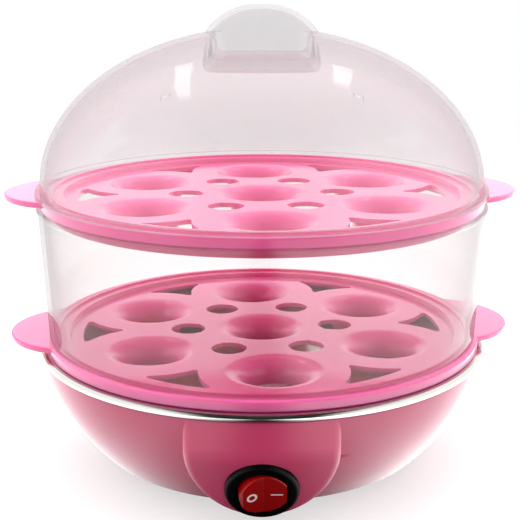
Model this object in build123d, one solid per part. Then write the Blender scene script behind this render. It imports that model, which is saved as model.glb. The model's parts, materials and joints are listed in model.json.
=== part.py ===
from build123d import *
import os
from math import cos, pi, radians, sin, tan

# Two-tier electric egg steamer: a bowl-shaped base with a steel heating dish,
# two seven-cup egg trays, a clear wall between them and a domed lid.
# Millimetres, +Z up, the feet stand on z = 0, the switch faces -Y.

# ---------------------------------------------------------------- base housing
foot_height = 4.0            # the bowl's lower edge above the table
housing_height = 35.6        # lower edge to the shoulder under the dish bead
housing_top_radius = 80.0
housing_foot_inset = 20.0    # the bowl's foot inside its top
housing_bulge = 3.4          # how far the side stands out from a straight slope
housing_wall = 2.2
lip_wall = 1.7               # upstanding lip under the dish flange

# ---------------------------------------------------------------- switch pod
pod_radius = 24.4            # half width and lower round of the lobe
pod_bottom = 3.8             # underside of the lobe above the table
pod_edge_round = 3.4
pod_face_tilt = 22.0         # the switch looks down by this angle
switch_height = 15.4         # centre of the bezel's seat above the table
switch_setback = 5.7         # centre of the bezel's seat inside the bowl's top
switch_sink = 0.9            # the bezel's flat seat, sunk into the curved front
switch_seat_gap = 0.3        # between the bezel's edge and the seat's
pod_knee_bend = 16.0         # where the upright front turns in towards the switch

# ---------------------------------------------------------------- round switch
bezel_radius = 11.6
bezel_height = 2.0
bezel_edge_round = 1.3
switch_body_radius = 9.8
switch_body_depth = 12.5
switch_hole_clearance = 0.1
rocker_radius = 7.8
rocker_gap = 0.7             # between the rocker and the bezel's window
rocker_swing_gap = 0.05      # between the rocker's swing and the window
rocker_pivot_depth = 1.5     # pivot axis below the bezel's seat
rocker_crown = 3.9           # middle of the rocker's face above its pivot
rocker_root = 3.6            # underside of the rocker below its pivot
rocker_tilt = 10.0           # each way from the middle
rocker_edge_round = 0.4
pivot_radius = 1.0
pivot_overlap = 0.7          # how far each pivot pin enters the switch body
pivot_clearance = 0.05
pocket_depth = 6.9           # rocker pocket below the bezel's seat
lamp_radius = 2.0
lamp_length = 8.0
lamp_depth = 8.3             # lamp axis below the bezel's seat
lamp_clearance = 0.05
blade_width = 4.8
blade_thickness = 0.8
blade_length = 8.0
blade_root = 1.5             # how deep each blade is set in the switch body
blade_pitch = 5.2
blade_count = 3

# ---------------------------------------------------------------- base cover
cover_thickness = 2.2
cover_clearance = 0.3
cover_rise = 0.4             # the cover's underside above the bowl's lower edge
ledge_width = 2.6
ledge_height = 1.8
foot_count = 3
foot_first_angle = 90.0
foot_inset = 10.5            # middle of each foot inside the bowl's foot
foot_radius = 6.2
foot_wall = 1.6
foot_edge_round = 1.0
post_radius = 3.8
post_height = 9.0
screw_radius = 1.5
screw_head_radius = 2.8
screw_head_height = 1.8
screw_slot = 0.8
screw_bite = 7.0             # how far the cover screws go into the posts
screw_clearance = 0.15
vent_count = 5
vent_width = 3.0
vent_length = 26.0
vent_pitch = 7.0

# ---------------------------------------------------------------- heating dish
sheet = 0.8                  # steel thickness of the dish
bead_radius = 1.3            # outside radius of the rolled rim
bead_overhang = 0.7          # how far the rolled rim stands out past the housing
bead_turn = 250.0            # how far the sheet is rolled
dish_gap = 0.3               # between the dish wall and the housing's lip
dish_slope_width = 12.3      # foot of the upright wall to the edge of the floor
dish_wall_drop = 5.4         # rim top to the foot of the upright wall
dish_depth = 13.2            # rim top to the inside of the floor
dish_floor_bend = 5.0
dish_wall_bend = 3.0
dish_flange_bend = 1.2
lip_clearance = 0.2
seal_thickness = 0.6
stud_count = 2
stud_first_angle = 0.0
stud_radius = 2.0
stud_length = 17.0
stud_hole_clearance = 0.4
lug_width = 15.0
lug_thickness = 3.0
lug_drop = 8.4               # dish underside to the lug's top
nut_across = 7.0
nut_height = 3.0
washer_radius = 4.5
washer_thickness = 0.8
thread_clearance = 0.05

# ---------------------------------------------------------------- heater group
spreader_radius = 43.0
spreader_thickness = 2.2
element_ring_radius = 34.0
element_radius = 3.25
element_sweep = 306.0
element_mid_angle = 222.0    # middle of the element's arc, seen from above
end_seal_length = 3.0
pin_radius = 1.1
pin_length = 7.0
pin_root = 2.0               # how deep each pin is set in its seal
round_gap = 0.05             # between a round heater part and the flat it lies on
thermostat_cap_radius = 8.0
thermostat_cap_height = 4.0
thermostat_body_radius = 7.6
thermostat_body_height = 6.0
thermostat_blade_length = 6.0
thermostat_blade_root = 1.0
thermostat_blade_drop = 3.0  # below the cap
strap_width = 9.0
strap_thickness = 0.8
strap_leg = 9.0              # middle of the strap to each upright leg
strap_screw = 18.0           # middle of the strap to each screw
strap_reach = 22.5           # middle of the strap to the end of each tab
small_screw_radius = 1.5
small_screw_head_radius = 2.6
small_screw_head_height = 1.6
small_screw_bite = 1.6       # how far the small screws go into the spreader
small_screw_clearance = 0.1
fuse_radius = 2.1
fuse_length = 12.0
fuse_lead_radius = 0.5
fuse_lead_length = 6.0
fuse_offset = 17.5           # fuse behind the centre of the spreader
clip_width = 5.0
clip_thickness = 0.6
clip_screw = 6.6             # fuse axis to the clip's screw
clip_tab = 9.8               # fuse axis to the end of the clip's tab

# ---------------------------------------------------------------- cord inlet
inlet_height = 18.5
inlet_boss_radius = 8.0
inlet_setback = 3.0          # outer face of the boss inside the bowl's top
inlet_hole_radius = 4.6
gland_flange_radius = 6.8
gland_flange = 1.8
gland_bore_radius = 3.1
gland_clearance = 0.05
gland_inner_radius = 5.4
gland_inner_flange = 1.6
gland_pocket_clearance = 0.5
gland_edge_round = 0.8
block_width = 20.0
block_depth = 8.0
block_height = 9.0
block_edge_round = 1.0
block_ways = 2
block_pitch = 9.0
block_reach = 26.0           # centre of the block behind the axis
block_offset = 20.0          # and to the right of it
block_bore_radius = 1.4
block_bore_height = 3.2
block_screw_radius = 1.5
block_screw_length = 4.2     # top of the block to the screw's tip
block_screw_sink = 1.0       # screw head below the top of the block

# ---------------------------------------------------------------- egg trays
rim_inset = 1.0              # the rim inside the middle of the dish's rolled edge
rim_step = 1.8               # rim top above the deck
rim_drop = 2.0               # rim lip below the deck
rim_lip = 1.7
rim_round = 0.7
rim_shelf = 5.2              # edge of the deck to the outside of the skirt
tray_wall = 1.6
deck_ramp = 0.6              # slope of the step from deck to rim
skirt_clearance = 0.5        # between the skirt and the dish wall
skirt_depth = 5.5
skirt_wall = 1.5
skirt_taper = 0.3
rib_width = 1.2              # rib that centres the wall or the lid on the rim
rib_height = 0.8
cup_margin = 6.0             # mouth of an outer cup to the edge of the deck
cup_mouth_radius = 16.4
cup_throat_radius = 9.5
cup_throat = 1.3             # straight throat under the bell mouth
outer_cups = 6
steam_web = 4.6              # between a steam hole and the cup mouths around it
corner_neck = 1.5            # sides of a corner opening past the middle between two cups
corner_margin = 4.2          # between a corner opening and the edge of the deck
corner_round = 1.1
ear_length = 12.6            # tip of an ear outside the rim
ear_radius = 26.0
ear_thickness = 2.0
ear_edge_round = 0.6
lower_tray_turn = 5.0
upper_tray_turn = 3.4
tray_pitch = 50.3            # deck of the lower tray to deck of the upper one

# ---------------------------------------------------------------- clear wall
wall_thickness = 1.6
wall_clearance = 0.8         # between the wall's foot and the rib that centres it
wall_flare = 2.0             # top radius outside the foot radius
wall_bead = 0.6
wall_bead_height = 1.8

# ---------------------------------------------------------------- domed lid
lid_clearance = 1.9          # between the lid and the rib that centres it
dome_rise = 54.4
dome_spring = 1.9            # straight skirt under the ellipse
dome_wall = 1.6
dome_foot_overhang = 1.3     # foot of the lid outside the tray's rim
dome_foot_height = 1.6
knob_half_width = 22.0       # at its root, inside the dome
knob_height = 7.5            # above the top of the dome
knob_crown_half_width = 2.0
knob_half_depth = 7.0
knob_round = 2.2
scoop_half_width = 17.0
scoop_depth = 10.6           # floor of the finger scoops below the dome's top
scoop_corner = 6.0
scoop_floor_round = 2.6
steam_vent_radius = 1.6
steam_vent_spread = 29.4
steam_vent_reach = 50.0

# ---------------------------------------------------------------- radii that follow
half_step = radians(180 / outer_cups)
housing_foot_radius = housing_top_radius - housing_foot_inset
housing_bulge_radius = (housing_top_radius + housing_foot_radius) / 2 + housing_bulge
switch_reach = housing_top_radius - switch_setback
inlet_boss_reach = housing_top_radius - inlet_setback
foot_ring_radius = housing_foot_radius - foot_inset
bead_ring_radius = housing_top_radius + bead_overhang - bead_radius
lip_radius = bead_ring_radius - bead_radius - lip_clearance
dish_wall_radius = lip_radius - lip_wall - dish_gap
dish_floor_radius = dish_wall_radius - dish_slope_width
stud_ring_radius = (spreader_radius + dish_floor_radius) / 2
rim_radius = bead_ring_radius - rim_inset
skirt_radius = dish_wall_radius - sheet - skirt_clearance
deck_radius = skirt_radius - rim_shelf
ear_reach = rim_radius + ear_length
cup_ring_radius = deck_radius - cup_margin - cup_mouth_radius
steam_ring_radius = cup_ring_radius / 2 / cos(half_step)
steam_hole_radius = steam_ring_radius - cup_mouth_radius - steam_web
corner_web_radius = cup_ring_radius * sin(half_step) + corner_neck
corner_reach = deck_radius - corner_margin
wall_foot_radius = skirt_radius + wall_clearance + wall_thickness
wall_top_radius = wall_foot_radius + wall_flare
dome_radius = skirt_radius + lid_clearance + dome_wall
dome_foot_radius = rim_radius + dome_foot_overhang

# ---------------------------------------------------------------- levels that follow
shoulder_z = foot_height + housing_height
rim_top_z = shoulder_z + 2 * bead_radius
flange_z = rim_top_z - sheet
dish_floor_z = rim_top_z - dish_depth
dish_under_z = dish_floor_z - sheet
spreader_z = dish_under_z - spreader_thickness
lug_z = dish_under_z - lug_drop
lower_deck_z = rim_top_z + rim_drop
upper_deck_z = lower_deck_z + tray_pitch
wall_z = lower_deck_z + rim_step
wall_height = tray_pitch - rim_drop - rim_step
lid_z = upper_deck_z + rim_step
dome_top_z = lid_z + dome_spring + dome_rise
cover_z = foot_height + cover_rise
ledge_z = cover_z + cover_thickness

margin = 5.0                 # how far a cutting tool runs past what it cuts
UPWARD = (Align.CENTER, Align.CENTER, Align.MIN)


def post(radius, low, high):
    """Upright round bar on the local axis."""
    return Pos(0, 0, low) * Cylinder(radius, high - low, align=UPWARD)


def ring(outer, inner, low, high):
    """Plain ring about the local axis."""
    return post(outer, low, high) - post(inner, low - margin, high + margin)


def rod(radius, start, end):
    """Round bar between two points."""
    line = Line(start, end)
    return extrude(Plane(origin=start, z_dir=line % 0) * Circle(radius), line.length)


def turned(points):
    """Solid of revolution from a closed outline of (radius, height) points."""
    return revolve(make_face(Polyline(*[(r, 0, z) for r, z in points], close=True)), Axis.Z)


def quarter_ellipse(centre, half_width, half_height):
    """Quarter of an ellipse, from its right end to its top."""
    return EllipticalCenterArc(centre, half_width, half_height, 0, arc_size=90)


def around(count, first_angle, radius):
    """Places on a circle, each turned to look outwards."""
    return [Rot(0, 0, first_angle + i * 360 / count) * Pos(radius, 0, 0) for i in range(count)]


def write(name, shape):
    """Save one sub-part."""
    export_step(shape, f"parts/{name}.step")


# ---------------------------------------------------------------- base housing
def bowl(inset):
    """Solid bowl, pulled in by inset, from its lower edge to its shoulder."""
    side = ThreePointArc((housing_foot_radius - inset, 0, foot_height),
                         (housing_bulge_radius - inset, 0, foot_height + housing_height / 2),
                         (housing_top_radius - inset, 0, shoulder_z))
    lid = Polyline(side @ 1, (0, 0, shoulder_z), (0, 0, foot_height), side @ 0)
    return revolve(make_face([side, lid]), Axis.Z)


def switch_plane():
    """Seat of the bezel: z points out of the housing, x to the right, y up the face."""
    tilt = radians(pod_face_tilt)
    return Plane(origin=(0, -switch_reach, switch_height), x_dir=(1, 0, 0),
                 z_dir=(0, -cos(tilt), -sin(tilt)))


def pod_front(inset):
    """Turned body whose side is the front of the lobe: upright, then sloping in below the knee."""
    tilt = radians(pod_face_tilt)
    reach = switch_reach + switch_sink / cos(tilt)
    knee_z = switch_height + (housing_top_radius - reach) / tan(tilt) - inset * tan(tilt / 2)
    low_radius = reach - switch_height * tan(tilt) - inset / cos(tilt)
    side = FilletPolyline((low_radius, 0, 0), (housing_top_radius - inset, 0, knee_z),
                          (housing_top_radius - inset, 0, shoulder_z), radius=pod_knee_bend)
    back = Polyline(side @ 1, (0, 0, shoulder_z), (0, 0, 0), side @ 0)
    return revolve(make_face([side, back]), Axis.Z)


def is_level(edge):
    """True for an edge that stays at one height."""
    return max(abs((edge @ t).Z - (edge @ 0).Z) for t in (0.5, 1)) < 0.001


def pod(inset, edge_round):
    """Lobe that carries the switch, pulled in by inset, from the axis outwards."""
    radius = pod_radius - inset
    centre_z = pod_bottom + pod_radius
    front = Pos(0, centre_z) * Circle(radius)
    front += Pos(0, centre_z) * Rectangle(2 * radius, shoulder_z - centre_z,
                                          align=(Align.CENTER, Align.MIN))
    lobe = extrude(Plane.XZ * front, housing_top_radius + margin) & pod_front(inset)
    if edge_round:
        rim = [e for e in lobe.edges() if (e @ 0.5).Y < -housing_foot_radius and not is_level(e)]
        lobe = fillet(rim, edge_round)
    return lobe


def inlet_bar(radius, start, end):
    """Round bar along the cord inlet's axis, between two distances behind the middle."""
    return rod(radius, (0, start, inlet_height), (0, end, inlet_height))


def lug():
    """Shelf inside the wall that a dish stud comes down through."""
    length = housing_top_radius - stud_ring_radius
    shelf = Rectangle(length, lug_width, align=(Align.MIN, Align.CENTER)) + Circle(lug_width / 2)
    body = extrude(Pos(0, 0, lug_z - lug_thickness) * shelf, lug_thickness)
    gusset = Polyline((length, 0, lug_z - lug_thickness), (lug_width / 2, 0, lug_z - lug_thickness),
                      (length, 0, lug_z - length / 2), close=True)
    return body + extrude(make_face(gusset), housing_wall / 2, both=True)


def screw_post():
    """Post over a foot for a cover screw, with the rib that ties it to the wall."""
    length = housing_top_radius - foot_ring_radius
    rib = Pos(0, 0, ledge_z) * Box(length, housing_wall, post_height,
                                   align=(Align.MIN, Align.CENTER, Align.MIN))
    return post(post_radius, ledge_z, ledge_z + post_height) + rib


def make_base_housing():
    foot_places = around(foot_count, foot_first_angle, foot_ring_radius)
    stud_places = around(stud_count, stud_first_angle, stud_ring_radius)
    outside = bowl(0) + pod(0, pod_edge_round)
    outside += inlet_bar(inlet_boss_radius, housing_foot_radius, inlet_boss_reach)
    shell = outside - bowl(housing_wall)
    shell -= post(housing_foot_radius - housing_wall, 0, ledge_z)
    inside = ring(housing_foot_radius, housing_foot_radius - housing_wall - ledge_width,
                  ledge_z, ledge_z + ledge_height)
    inside += [place * screw_post() for place in foot_places]
    inside += [place * lug() for place in stud_places]
    shell += inside & bowl(housing_wall / 2)
    shell -= pod(housing_wall, 0)
    shell += turned([(lip_radius, flange_z - seal_thickness),
                     (lip_radius, shoulder_z),
                     (housing_top_radius - housing_wall / 2, shoulder_z),
                     (housing_top_radius - housing_wall / 2, shoulder_z - 2 * lip_wall),
                     (lip_radius - lip_wall, shoulder_z - lip_wall / 2),
                     (lip_radius - lip_wall, flange_z - seal_thickness)])
    shell -= [place * post(screw_radius, 0, ledge_z + screw_bite) for place in foot_places]
    shell -= [place * post(stud_radius + stud_hole_clearance, 0, dish_under_z) for place in stud_places]
    shell -= switch_plane() * post(bezel_radius + switch_seat_gap, 0, margin)
    shell -= switch_plane() * Cylinder(switch_body_radius + switch_hole_clearance, 4 * housing_wall)
    shell -= inlet_bar(gland_inner_radius + gland_pocket_clearance, housing_foot_radius,
                       inlet_boss_reach - housing_wall)
    shell -= inlet_bar(inlet_hole_radius, housing_foot_radius, inlet_boss_reach + margin)
    write("base_housing", shell)


# ---------------------------------------------------------------- base cover
def make_base_cover():
    radius = housing_foot_radius - housing_wall - cover_clearance
    places = around(foot_count, foot_first_angle, foot_ring_radius)
    cover = post(radius, cover_z, ledge_z)
    foot = fillet(post(foot_radius, 0, cover_z + cover_thickness / 2).edges().sort_by(Axis.Z)[0],
                  foot_edge_round)
    cover += [place * foot for place in places]
    cover -= [place * post(foot_radius - foot_wall, -margin, cover_z) for place in places]
    cover -= [place * post(screw_radius + screw_clearance, 0, ledge_z + margin) for place in places]
    slot = extrude(SlotOverall(vent_length, vent_width), ledge_z + margin)
    cover -= [Pos(0, (i - (vent_count - 1) / 2) * vent_pitch, 0) * slot for i in range(vent_count)]
    write("base_cover", cover)


def make_cover_screws():
    screw = post(screw_head_radius, cover_z - screw_head_height, cover_z)
    screw += post(screw_radius, cover_z, ledge_z + screw_bite)
    slot_depth = screw_head_height / 2
    screw -= Pos(0, 0, cover_z - screw_head_height) * Box(2 * screw_head_radius, screw_slot, 2 * slot_depth)
    places = around(foot_count, foot_first_angle, foot_ring_radius)
    write("cover_screws", Compound([place * screw for place in places]))


# ---------------------------------------------------------------- heating dish
def make_heating_dish():
    floor = dish_floor_z - sheet / 2
    flange = rim_top_z - sheet / 2
    upright = dish_wall_radius - sheet / 2
    curl = bead_radius - sheet / 2
    panel = FilletPolyline((0, 0, floor), (dish_floor_radius, 0, floor),
                           (upright, 0, rim_top_z - dish_wall_drop),
                           (upright, 0, flange), (bead_ring_radius, 0, flange),
                           radius=[dish_floor_bend, dish_wall_bend, dish_flange_bend])
    start = radians(90)
    angles = [start, start - radians(bead_turn / 2), start - radians(bead_turn)]
    bead = ThreePointArc(*[(bead_ring_radius + curl * cos(a), 0, flange - curl + curl * sin(a))
                           for a in angles])
    line = Wire(panel.edges() + bead.edges())
    strip = Plane.XZ.to_local_coords(line)
    face = make_face(offset(strip, sheet / 2, side=Side.BOTH))
    half = Plane.XZ.from_local_coords(face)
    size = 4 * housing_top_radius
    dish = revolve(half & Pos(size / 2, 0, 0) * Box(size, size, size), Axis.Z)
    write("heating_dish", dish)


def make_dish_seal():
    inner = dish_wall_radius - sheet / 2 + dish_flange_bend
    write("dish_seal", ring(lip_radius, inner, flange_z - seal_thickness, flange_z))


def make_dish_studs():
    places = around(stud_count, stud_first_angle, stud_ring_radius)
    stud = post(stud_radius, dish_under_z - stud_length, dish_under_z)
    write("dish_studs", Compound([place * stud for place in places]))


def make_stud_nuts():
    places = around(stud_count, stud_first_angle, stud_ring_radius)
    top = lug_z - lug_thickness - washer_thickness
    blank = extrude(Pos(0, 0, top - nut_height) * RegularPolygon(nut_across / 2, 6, major_radius=False),
                    nut_height)
    nut = blank - post(stud_radius + thread_clearance, 0, dish_under_z)
    write("stud_nuts", Compound([place * nut for place in places]))


def make_stud_washers():
    places = around(stud_count, stud_first_angle, stud_ring_radius)
    top = lug_z - lug_thickness
    washer = ring(washer_radius, stud_radius + thread_clearance, top - washer_thickness, top)
    write("stud_washers", Compound([place * washer for place in places]))


# ---------------------------------------------------------------- heater group
def small_screw_places():
    """Two strap screws and the clip's screw, all driven up into the spreader."""
    return [Pos(-strap_screw, 0, 0), Pos(strap_screw, 0, 0), Pos(0, fuse_offset + clip_screw, 0)]


def make_heat_spreader():
    plate = post(spreader_radius, spreader_z, dish_under_z)
    holes = [place * post(small_screw_radius, 0, spreader_z + small_screw_bite)
             for place in small_screw_places()]
    write("heat_spreader", plate - holes)


def element_ends():
    """The two ends of the element: local y runs out along the tube."""
    level = spreader_z - element_radius - round_gap
    half = element_sweep / 2
    return [Rot(0, 0, element_mid_angle + half) * Pos(element_ring_radius, 0, level),
            Rot(0, 0, element_mid_angle - half) * Pos(element_ring_radius, 0, level) * Rot(0, 0, 180)]


def make_heater_element():
    level = spreader_z - element_radius - round_gap
    tube = Pos(element_ring_radius, 0, level) * (Plane.XZ * Circle(element_radius))
    turn = Rot(0, 0, element_mid_angle - element_sweep / 2)
    write("heater_element", turn * revolve(tube, Axis.Z, element_sweep))


def make_element_seals():
    seal = rod(element_radius, (0, 0, 0), (0, end_seal_length, 0))
    seal -= rod(pin_radius, (0, end_seal_length - pin_root, 0), (0, end_seal_length + margin, 0))
    write("element_end_seals", Compound([place * seal for place in element_ends()]))


def make_element_pins():
    pin = rod(pin_radius, (0, end_seal_length - pin_root, 0), (0, end_seal_length + pin_length, 0))
    write("element_pins", Compound([place * pin for place in element_ends()]))


def make_thermostat():
    cap_z = spreader_z - thermostat_cap_height
    blade_z = cap_z - thermostat_blade_drop
    body = post(thermostat_cap_radius, cap_z, spreader_z)
    body += post(thermostat_body_radius, cap_z - thermostat_body_height, cap_z)
    blade = Box(blade_width, thermostat_blade_length + thermostat_blade_root, blade_thickness)
    reach = thermostat_body_radius + (thermostat_blade_length - thermostat_blade_root) / 2
    body += [Pos(0, side * reach, blade_z) * blade for side in (-1, 1)]
    write("thermostat", body)


def make_thermostat_strap():
    top = spreader_z - strap_thickness / 2
    low = spreader_z - thermostat_cap_height - thermostat_body_height - strap_thickness / 2
    line = Polyline((-strap_reach, top), (-strap_leg, top), (-strap_leg, low),
                    (strap_leg, low), (strap_leg, top), (strap_reach, top))
    face = make_face(offset(line, strap_thickness / 2, side=Side.BOTH, kind=Kind.INTERSECTION))
    face &= Pos(0, (top + low) / 2) * Rectangle(2 * strap_reach, 2 * (top - low))
    strap = extrude(Plane.XZ * face, strap_width / 2, both=True)
    strap -= [Pos(side * strap_screw, 0, 0) * post(small_screw_radius + small_screw_clearance, 0, shoulder_z)
              for side in (-1, 1)]
    write("thermostat_strap", strap)


def small_screw(grip):
    """Screw that clamps a sheet of thickness grip to the spreader."""
    seat = spreader_z - grip
    return (post(small_screw_head_radius, seat - small_screw_head_height, seat)
            + post(small_screw_radius, seat, spreader_z + small_screw_bite))


def make_heater_screws():
    grips = [strap_thickness, strap_thickness, clip_thickness]
    screws = [place * small_screw(grip) for place, grip in zip(small_screw_places(), grips)]
    write("heater_screws", Compound(screws))


def fuse_level():
    """Height of the fuse's axis."""
    return spreader_z - fuse_radius - round_gap


def make_thermal_fuse():
    end = fuse_length / 2 + fuse_lead_length
    fuse = rod(fuse_radius, (-fuse_length / 2, fuse_offset, fuse_level()),
               (fuse_length / 2, fuse_offset, fuse_level()))
    fuse += rod(fuse_lead_radius, (-end, fuse_offset, fuse_level()), (end, fuse_offset, fuse_level()))
    write("thermal_fuse", fuse)


def make_fuse_clip():
    inner = fuse_radius + round_gap
    outer = inner + clip_thickness
    level = fuse_level() - spreader_z
    section = Circle(outer) - Circle(inner)
    section &= Pos(0, -outer) * Rectangle(2 * outer, 2 * outer)
    leg = Rectangle(clip_thickness, -level, align=(Align.MIN, Align.MIN))
    section += Pos(inner, 0) * leg
    section += Pos(inner, -level - clip_thickness) * Rectangle(
        clip_tab - inner, clip_thickness, align=(Align.MIN, Align.MIN))
    place = Plane(origin=(0, fuse_offset, fuse_level()), x_dir=(0, 1, 0), z_dir=(1, 0, 0))
    clip = extrude(place * section, clip_width / 2, both=True)
    hole = post(small_screw_radius + small_screw_clearance, 0, shoulder_z)
    write("fuse_clip", clip - Pos(0, fuse_offset + clip_screw, 0) * hole)


# ---------------------------------------------------------------- round switch
def window_radius():
    return rocker_radius + rocker_gap


def blade(low, high, offset_x):
    """Flat terminal blade in the switch's own frame."""
    return Pos(offset_x, 0, low) * Box(blade_thickness, blade_width, high - low, align=UPWARD)


def blade_offsets():
    return [(i - (blade_count - 1) / 2) * blade_pitch for i in range(blade_count)]


def make_switch_body():
    bezel = fillet(post(bezel_radius, 0, bezel_height).edges().sort_by(Axis.Z)[-1], bezel_edge_round)
    body = bezel + post(switch_body_radius, -switch_body_depth, 0)
    body -= post(window_radius(), -pocket_depth, bezel_height + margin)
    pin_reach = window_radius() + pivot_overlap + pivot_clearance
    body -= rod(pivot_radius + pivot_clearance, (0, -pin_reach, -rocker_pivot_depth),
                (0, pin_reach, -rocker_pivot_depth))
    half_lamp = lamp_length / 2 + lamp_clearance
    body -= rod(lamp_radius + lamp_clearance, (0, -half_lamp, -lamp_depth), (0, half_lamp, -lamp_depth))
    body -= Pos(0, 0, -lamp_depth) * Box(2 * (lamp_radius + lamp_clearance), 2 * half_lamp, lamp_depth,
                                         align=UPWARD)
    low = -switch_body_depth - margin
    body -= [blade(low, blade_root - switch_body_depth, x) for x in blade_offsets()]
    write("switch_body", switch_plane() * body)


def make_switch_rocker():
    """Two sloping faces that meet in a shallow valley, on a cross pin, with the right side pressed."""
    swing = window_radius() - rocker_swing_gap
    rise = swing * tan(radians(rocker_tilt))
    section = Polyline((0, rocker_crown), (swing, rocker_crown + rise), (swing, -rocker_root),
                       (-swing, -rocker_root), (-swing, rocker_crown + rise), close=True)
    cap = extrude(Plane.XZ * make_face(section), swing, both=True)
    cap &= post(rocker_radius, -rocker_root, rocker_crown + rise)
    cap &= rod(swing, (0, -swing, 0), (0, swing, 0))
    rim = [e for e in cap.edges() if (e @ 0.5).Z > rocker_crown and abs((e @ 0.5).Y) > pivot_radius]
    cap = fillet(rim, rocker_edge_round)
    reach = window_radius() + pivot_overlap
    cap += rod(pivot_radius, (0, -reach, 0), (0, reach, 0))
    write("switch_rocker", switch_plane() * Pos(0, 0, -rocker_pivot_depth) * Rot(0, rocker_tilt, 0) * cap)


def make_switch_lamp():
    half = lamp_length / 2
    lamp = rod(lamp_radius, (0, -half, -lamp_depth), (0, half, -lamp_depth))
    write("switch_lamp", switch_plane() * lamp)


def make_switch_terminals():
    low = -switch_body_depth - blade_length
    high = blade_root - switch_body_depth
    blades = [switch_plane() * blade(low, high, x) for x in blade_offsets()]
    write("switch_terminals", Compound(blades))


# ---------------------------------------------------------------- cord inlet
def make_cord_gland():
    inner_face = inlet_boss_reach - housing_wall
    gland = inlet_bar(gland_flange_radius, inlet_boss_reach, inlet_boss_reach + gland_flange)
    gland = fillet(gland.edges().sort_by(Axis.Y)[-1], gland_edge_round)
    gland += inlet_bar(inlet_hole_radius - gland_clearance, inner_face, inlet_boss_reach)
    gland += inlet_bar(gland_inner_radius, inner_face - gland_inner_flange, inner_face)
    gland -= inlet_bar(gland_bore_radius, inner_face - margin, inlet_boss_reach + margin)
    write("cord_gland", gland)


def block_way_places():
    """Middle of each way of the terminal block, on the cover's top face."""
    first = block_offset - (block_ways - 1) / 2 * block_pitch
    return [Pos(first + i * block_pitch, block_reach, ledge_z) for i in range(block_ways)]


def make_terminal_block():
    block = Pos(block_offset, block_reach, ledge_z) * Box(block_width, block_depth, block_height,
                                                          align=UPWARD)
    block = fillet(block.edges().filter_by(Axis.Z), block_edge_round)
    for place in block_way_places():
        block -= place * rod(block_bore_radius, (0, -block_depth, block_bore_height),
                             (0, block_depth, block_bore_height))
        block -= place * post(block_screw_radius, block_height - block_screw_length, block_height + margin)
    write("terminal_block", block)


def make_block_screws():
    screw = post(block_screw_radius, block_height - block_screw_length, block_height - block_screw_sink)
    write("block_screws", Compound([place * screw for place in block_way_places()]))


# ---------------------------------------------------------------- egg trays
def cup_wall():
    """Bell-mouthed cup: a quarter-round mouth that runs into a short open throat."""
    bend = cup_mouth_radius - cup_throat_radius
    inner = bend - tray_wall
    mouth = CenterArc((cup_mouth_radius, -bend), bend, 90, 90)
    under = CenterArc((cup_mouth_radius, -bend), inner, 90, 90)
    foot = Polyline(mouth @ 1, (cup_throat_radius, -bend - cup_throat),
                    (cup_throat_radius + tray_wall, -bend - cup_throat), under @ 1)
    face = make_face([mouth, foot, under, Line(under @ 0, mouth @ 0)])
    return revolve(Plane.XZ * face, Axis.Z)


def corner_opening():
    """Three-sided opening between two cups and the rim, its tip towards the middle."""
    blank = Circle(corner_reach)
    blank -= [Rot(0, 0, side * 180 / outer_cups) * Pos(cup_ring_radius, 0) * Circle(corner_web_radius)
              for side in (-1, 1)]
    wedge = Polyline((0, 0), (2 * rim_radius, -2 * rim_radius * sin(half_step)),
                     (2 * rim_radius, 2 * rim_radius * sin(half_step)), close=True)
    tip = blank & make_face(wedge)
    tip &= Pos(cup_ring_radius, 0) * Circle(corner_web_radius)
    return fillet(tip.vertices(), corner_round)


def tray_ears():
    """Two flat finger tabs at opposite sides of the rim."""
    tab = Pos(ear_reach - ear_radius, 0) * Circle(ear_radius)
    tab -= Circle(rim_radius - rim_lip)
    tab = extrude(Pos(0, 0, rim_step - ear_thickness) * tab, ear_thickness)
    edges = [e for e in tab.edges().filter_by(Plane.XY) if (e @ 0.5).X > rim_radius]
    tab = fillet(edges, ear_edge_round)
    return tab + Rot(0, 0, 180) * tab


def make_tray(name, deck_z, turn):
    rim_under = rim_step - tray_wall
    rib_radius = skirt_radius
    tray = turned([(0, 0), (deck_radius, 0), (deck_radius + deck_ramp, rim_step),
                   (rib_radius - rib_width, rim_step), (rib_radius - rib_width, rim_step + rib_height),
                   (rib_radius, rim_step + rib_height), (rib_radius, rim_step),
                   (rim_radius, rim_step), (rim_radius, -rim_drop),
                   (rim_radius - rim_lip, -rim_drop), (rim_radius - rim_lip, rim_under),
                   (skirt_radius, rim_under), (skirt_radius - skirt_taper, -skirt_depth),
                   (skirt_radius - skirt_taper - skirt_wall, -skirt_depth),
                   (skirt_radius - skirt_wall, rim_under), (deck_radius + deck_ramp + tray_wall, rim_under),
                   (deck_radius + tray_wall, -tray_wall), (0, -tray_wall)])
    rim_edges = [e for e in tray.edges() if abs(e.length - 2 * pi * rim_radius) < 0.01]
    tray = fillet(rim_edges, rim_round)
    cups = [Pos(0, 0, 0)] + around(outer_cups, 180 / outer_cups, cup_ring_radius)
    tray -= [place * post(cup_mouth_radius, -margin, margin) for place in cups]
    tray += [place * cup_wall() for place in cups]
    hole = post(steam_hole_radius, -margin, margin)
    tray -= [place * hole for place in around(outer_cups, 0, steam_ring_radius)]
    corner = Pos(0, 0, -margin) * extrude(corner_opening(), 2 * margin)
    tray -= [place * corner for place in around(outer_cups, 0, 0)]
    tray += tray_ears()
    write(name, Pos(0, 0, deck_z) * Rot(0, 0, turn) * tray)


# ---------------------------------------------------------------- clear wall
def make_clear_wall():
    top = wall_z + wall_height
    wall = turned([(wall_foot_radius, wall_z), (wall_top_radius, top - wall_bead_height),
                   (wall_top_radius + wall_bead, top - wall_bead_height / 2),
                   (wall_top_radius + wall_bead, top),
                   (wall_top_radius - wall_thickness, top),
                   (wall_foot_radius - wall_thickness, wall_z)])
    write("clear_wall", wall)


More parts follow.
